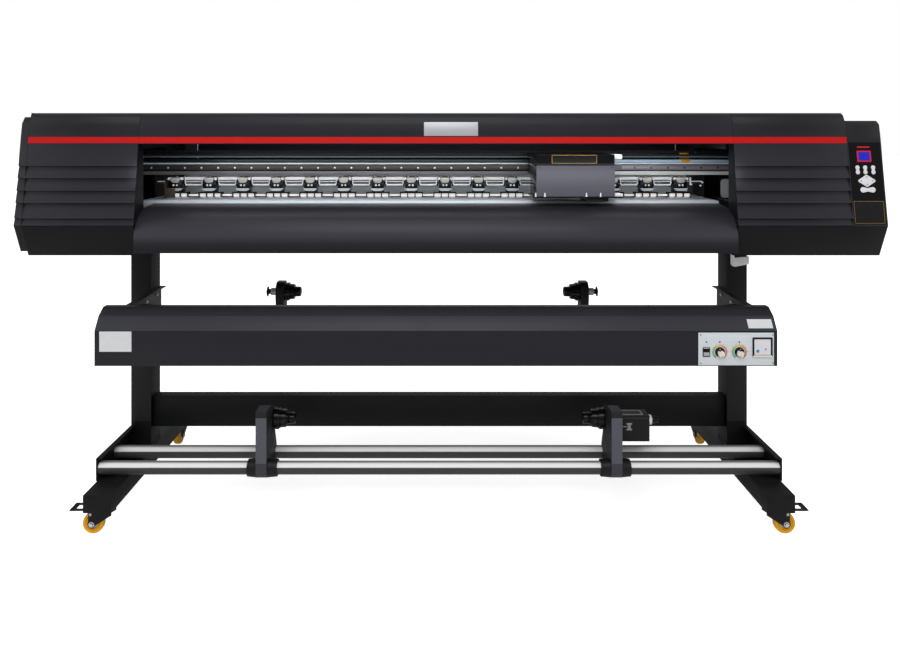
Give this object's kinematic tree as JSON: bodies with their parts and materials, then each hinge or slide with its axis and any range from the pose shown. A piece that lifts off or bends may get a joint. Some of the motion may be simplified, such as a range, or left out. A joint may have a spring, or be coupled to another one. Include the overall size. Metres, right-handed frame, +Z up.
{
  "type": "wide-format roll-to-roll printer",
  "caption": "Wide-format roll-to-roll printer for sign and vinyl graphics, on a castered black stand with a front dryer, a take-up and a rear feed",
  "frame": {"origin": "on the floor, under the middle of the overall bounding box", "axes": "X runs along the machine, +X to the control panel's end; -Y is the operator's side; +Z up"},
  "size_m": [2.512, 0.742, 1.206],
  "materials": {
    "charcoal_paint": "fine-textured powder coat",
    "stand_paint": "satin black powder coat",
    "black_plastic": "moulded matt black",
    "arm_plastic": "moulded dark grey",
    "steel": "ground stainless tube",
    "aluminium": "anodised extrusion",
    "pale_paint": "light grey paint",
    "grey_paint": "mid grey paint",
    "white_plastic": "moulded white",
    "yellow_plastic": "orange-yellow polyurethane",
    "lamp_tube": "frosted heating tube",
    "white_rubber": "white roller rubber"
  },
  "bodies": {
    "frame": {"left_leg": "stand_paint", "right_leg": "stand_paint", "crossbar": "stand_paint", "front_tube": "steel", "rear_tube": "steel", "feed_rail": "steel", "dryer_bracket_left": "stand_paint", "dryer_bracket_right": "stand_paint", "dryer_housing": "charcoal_paint", "dryer_lamp": "lamp_tube", "dryer_control_plate": "pale_paint", "chassis": "stand_paint", "left_end_shell": "charcoal_paint", "right_end_shell": "charcoal_paint", "centre_cover": "charcoal_paint", "rail_beam": "aluminium", "drive_belt": "black_plastic", "carriage_motor": "black_plastic", "platen": "pale_paint", "apron": "charcoal_paint", "capping_station": "grey_paint", "control_panel": "black_plastic"},
    "caster_front_left": {"caster_fork_front_left": "stand_paint"},
    "wheel_front_left": {"caster_wheel_front_left": "yellow_plastic"},
    "brake_front_left": {"brake_pedal_front_left": "stand_paint"},
    "caster_front_right": {"caster_fork_front_right": "stand_paint"},
    "wheel_front_right": {"caster_wheel_front_right": "yellow_plastic"},
    "brake_front_right": {"brake_pedal_front_right": "stand_paint"},
    "caster_rear_left": {"caster_fork_rear_left": "stand_paint"},
    "wheel_rear_left": {"caster_wheel_rear_left": "yellow_plastic"},
    "caster_rear_right": {"caster_fork_rear_right": "stand_paint"},
    "wheel_rear_right": {"caster_wheel_rear_right": "yellow_plastic"},
    "takeup_left": {"takeup_arm_left": "arm_plastic"},
    "takeup_left_core": {"takeup_cone_left": "black_plastic"},
    "takeup_right": {"takeup_arm_right": "arm_plastic", "takeup_motor": "black_plastic"},
    "takeup_right_core": {"takeup_cone_right": "black_plastic"},
    "feed_left": {"feed_arm_left": "black_plastic"},
    "feed_left_core": {"feed_cone_left": "black_plastic"},
    "feed_right": {"feed_arm_right": "black_plastic"},
    "feed_right_core": {"feed_cone_right": "black_plastic"},
    "left_lid": {"left_cover": "charcoal_paint"},
    "right_lid": {"right_cover": "charcoal_paint"},
    "carriage": {"carriage_body": "black_plastic", "carriage_plate": "grey_paint", "print_head": "black_plastic"},
    "drive_pulley_body": {"drive_pulley": "aluminium"},
    "idler_pulley_body": {"idler_pulley": "aluminium"},
    "pinch": {"pinch_bar": "black_plastic"},
    "pinch_roller_set": {"pinch_rollers": "white_rubber"},
    "grit": {"grit_roller": "steel"},
    "lever": {"lift_lever": "white_plastic"},
    "rocker": {"dryer_switch": "black_plastic"},
    "knob_1": {"dryer_knob_1": "black_plastic"},
    "knob_2": {"dryer_knob_2": "black_plastic"},
    "button_left": {"key_left": "white_plastic"},
    "button_middle": {"key_middle": "white_plastic"},
    "button_right": {"key_right": "white_plastic"},
    "button_four_way": {"key_four_way": "white_plastic"},
    "button_wide": {"key_wide": "white_plastic"}
  },
  "joints": [
    {"name": "front_left_swivel", "type": "hinge", "parent": "frame", "child": "caster_front_left", "pos_m": [-0.993, -0.322, 0.0786], "axis": [0, 0, 1], "continuous": true},
    {"name": "front_left_roll", "type": "hinge", "parent": "caster_front_left", "child": "wheel_front_left", "pos_m": [-1.023, -0.322, 0.03], "axis": [0, 1, 0], "continuous": true},
    {"name": "front_left_brake", "type": "hinge", "parent": "caster_front_left", "child": "brake_front_left", "pos_m": [-1.027, -0.322, 0.0635], "axis": [0, -1, 0], "range_deg": [0, 15]},
    {"name": "front_right_swivel", "type": "hinge", "parent": "frame", "child": "caster_front_right", "pos_m": [0.929, -0.322, 0.0786], "axis": [0, 0, 1], "continuous": true},
    {"name": "front_right_roll", "type": "hinge", "parent": "caster_front_right", "child": "wheel_front_right", "pos_m": [0.959, -0.322, 0.03], "axis": [0, 1, 0], "continuous": true},
    {"name": "front_right_brake", "type": "hinge", "parent": "caster_front_right", "child": "brake_front_right", "pos_m": [0.963, -0.322, 0.0635], "axis": [0, 1, 0], "range_deg": [0, 15]},
    {"name": "rear_left_swivel", "type": "hinge", "parent": "frame", "child": "caster_rear_left", "pos_m": [-0.993, 0.322, 0.0786], "axis": [0, 0, 1], "continuous": true},
    {"name": "rear_left_roll", "type": "hinge", "parent": "caster_rear_left", "child": "wheel_rear_left", "pos_m": [-0.993, 0.292, 0.03], "axis": [1, 0, 0], "continuous": true},
    {"name": "rear_right_swivel", "type": "hinge", "parent": "frame", "child": "caster_rear_right", "pos_m": [0.929, 0.322, 0.0786], "axis": [0, 0, 1], "continuous": true},
    {"name": "rear_right_roll", "type": "hinge", "parent": "caster_rear_right", "child": "wheel_rear_right", "pos_m": [0.929, 0.292, 0.03], "axis": [1, 0, 0], "continuous": true},
    {"name": "takeup_left_slide", "type": "slide", "parent": "frame", "child": "takeup_left", "axis": [1, 0, 0], "range_m": [-0.42, 0.4]},
    {"name": "takeup_right_slide", "type": "slide", "parent": "frame", "child": "takeup_right", "axis": [1, 0, 0], "range_m": [-0.4, 0.41]},
    {"name": "takeup_left_spin", "type": "hinge", "parent": "takeup_left", "child": "takeup_left_core", "pos_m": [-0.5355, -0.188, 0.277], "axis": [1, 0, 0], "continuous": true},
    {"name": "takeup_right_spin", "type": "hinge", "parent": "takeup_right", "child": "takeup_right_core", "pos_m": [0.4715, -0.188, 0.277], "axis": [1, 0, 0], "continuous": true},
    {"name": "feed_left_slide", "type": "slide", "parent": "frame", "child": "feed_left", "axis": [1, 0, 0], "range_m": [-0.36, 0.4]},
    {"name": "feed_right_slide", "type": "slide", "parent": "frame", "child": "feed_right", "axis": [1, 0, 0], "range_m": [-0.4, 0.42]},
    {"name": "feed_left_spin", "type": "hinge", "parent": "feed_left", "child": "feed_left_core", "pos_m": [-0.5745, 0.172, 0.586], "axis": [1, 0, 0], "continuous": true},
    {"name": "feed_right_spin", "type": "hinge", "parent": "feed_right", "child": "feed_right_core", "pos_m": [0.463, 0.172, 0.586], "axis": [1, 0, 0], "continuous": true},
    {"name": "left_lid_hinge", "type": "hinge", "parent": "frame", "child": "left_lid", "pos_m": [-0.909, 0.2485, 1.189], "axis": [-1, 0, 0], "range_deg": [0, 70]},
    {"name": "right_lid_hinge", "type": "hinge", "parent": "frame", "child": "right_lid", "pos_m": [0.827, 0.2485, 1.189], "axis": [-1, 0, 0], "range_deg": [0, 70]},
    {"name": "carriage_slide", "type": "slide", "parent": "frame", "child": "carriage", "axis": [1, 0, 0], "range_m": [-1.35, 0.56]},
    {"name": "drive_pulley_spin", "type": "hinge", "parent": "frame", "child": "drive_pulley_body", "pos_m": [1.0973, 0.005, 1.066], "axis": [0, 0, 1], "continuous": true},
    {"name": "idler_pulley_spin", "type": "hinge", "parent": "frame", "child": "idler_pulley_body", "pos_m": [-1.122, 0.005, 1.066], "axis": [0, 0, 1], "continuous": true},
    {"name": "pinch_lift", "type": "hinge", "parent": "frame", "child": "pinch", "pos_m": [-0.032, -0.02, 0.985], "axis": [-1, 0, 0], "range_deg": [0, 10]},
    {"name": "lever_turn", "type": "hinge", "parent": "frame", "child": "lever", "pos_m": [0.874, -0.15, 0.812], "axis": [-1, 0, 0], "range_deg": [0, 40]},
    {"name": "grit_spin", "type": "hinge", "parent": "frame", "child": "grit", "pos_m": [-0.032, -0.06, 0.926], "axis": [1, 0, 0], "continuous": true},
    {"name": "pinch_spin", "type": "hinge", "parent": "pinch", "child": "pinch_roller_set", "pos_m": [-0.032, -0.06, 0.9463], "axis": [1, 0, 0], "continuous": true},
    {"name": "rocker_tilt", "type": "hinge", "parent": "frame", "child": "rocker", "pos_m": [0.7335, -0.3293, 0.52], "axis": [1, 0, 0], "range_deg": [0, 14]},
    {"name": "knob_1_turn", "type": "hinge", "parent": "frame", "child": "knob_1", "pos_m": [0.772, -0.3306, 0.52], "axis": [0, -1, 0], "range_deg": [-135, 135]},
    {"name": "knob_2_turn", "type": "hinge", "parent": "frame", "child": "knob_2", "pos_m": [0.828, -0.3306, 0.52], "axis": [0, -1, 0], "range_deg": [-135, 135]},
    {"name": "button_left_press", "type": "slide", "parent": "frame", "child": "button_left", "axis": [0, 0.9892, -0.1468], "range_m": [0, 0.0008], "stiffness_N_per_m": 300, "springref_m": -0.0005},
    {"name": "button_middle_press", "type": "slide", "parent": "frame", "child": "button_middle", "axis": [0, 0.9892, -0.1468], "range_m": [0, 0.0008], "stiffness_N_per_m": 300, "springref_m": -0.0005},
    {"name": "button_right_press", "type": "slide", "parent": "frame", "child": "button_right", "axis": [0, 0.9892, -0.1468], "range_m": [0, 0.0008], "stiffness_N_per_m": 300, "springref_m": -0.0005},
    {"name": "button_four_way_press", "type": "slide", "parent": "frame", "child": "button_four_way", "axis": [0, 0.9892, -0.1468], "range_m": [0, 0.0008], "stiffness_N_per_m": 300, "springref_m": -0.0005},
    {"name": "button_wide_press", "type": "slide", "parent": "frame", "child": "button_wide", "axis": [0, 0.9892, -0.1468], "range_m": [0, 0.0008], "stiffness_N_per_m": 300, "springref_m": -0.0005}
  ],
  "couplings": [
    {"joint": "drive_pulley_spin", "follows": "carriage_slide", "rad_per_m": 71.429},
    {"joint": "idler_pulley_spin", "follows": "carriage_slide", "rad_per_m": 71.429},
    {"joint": "pinch_spin", "follows": "grit_spin", "ratio": -1.5},
    {"joint": "lever_turn", "follows": "pinch_lift", "ratio": 4}
  ]
}
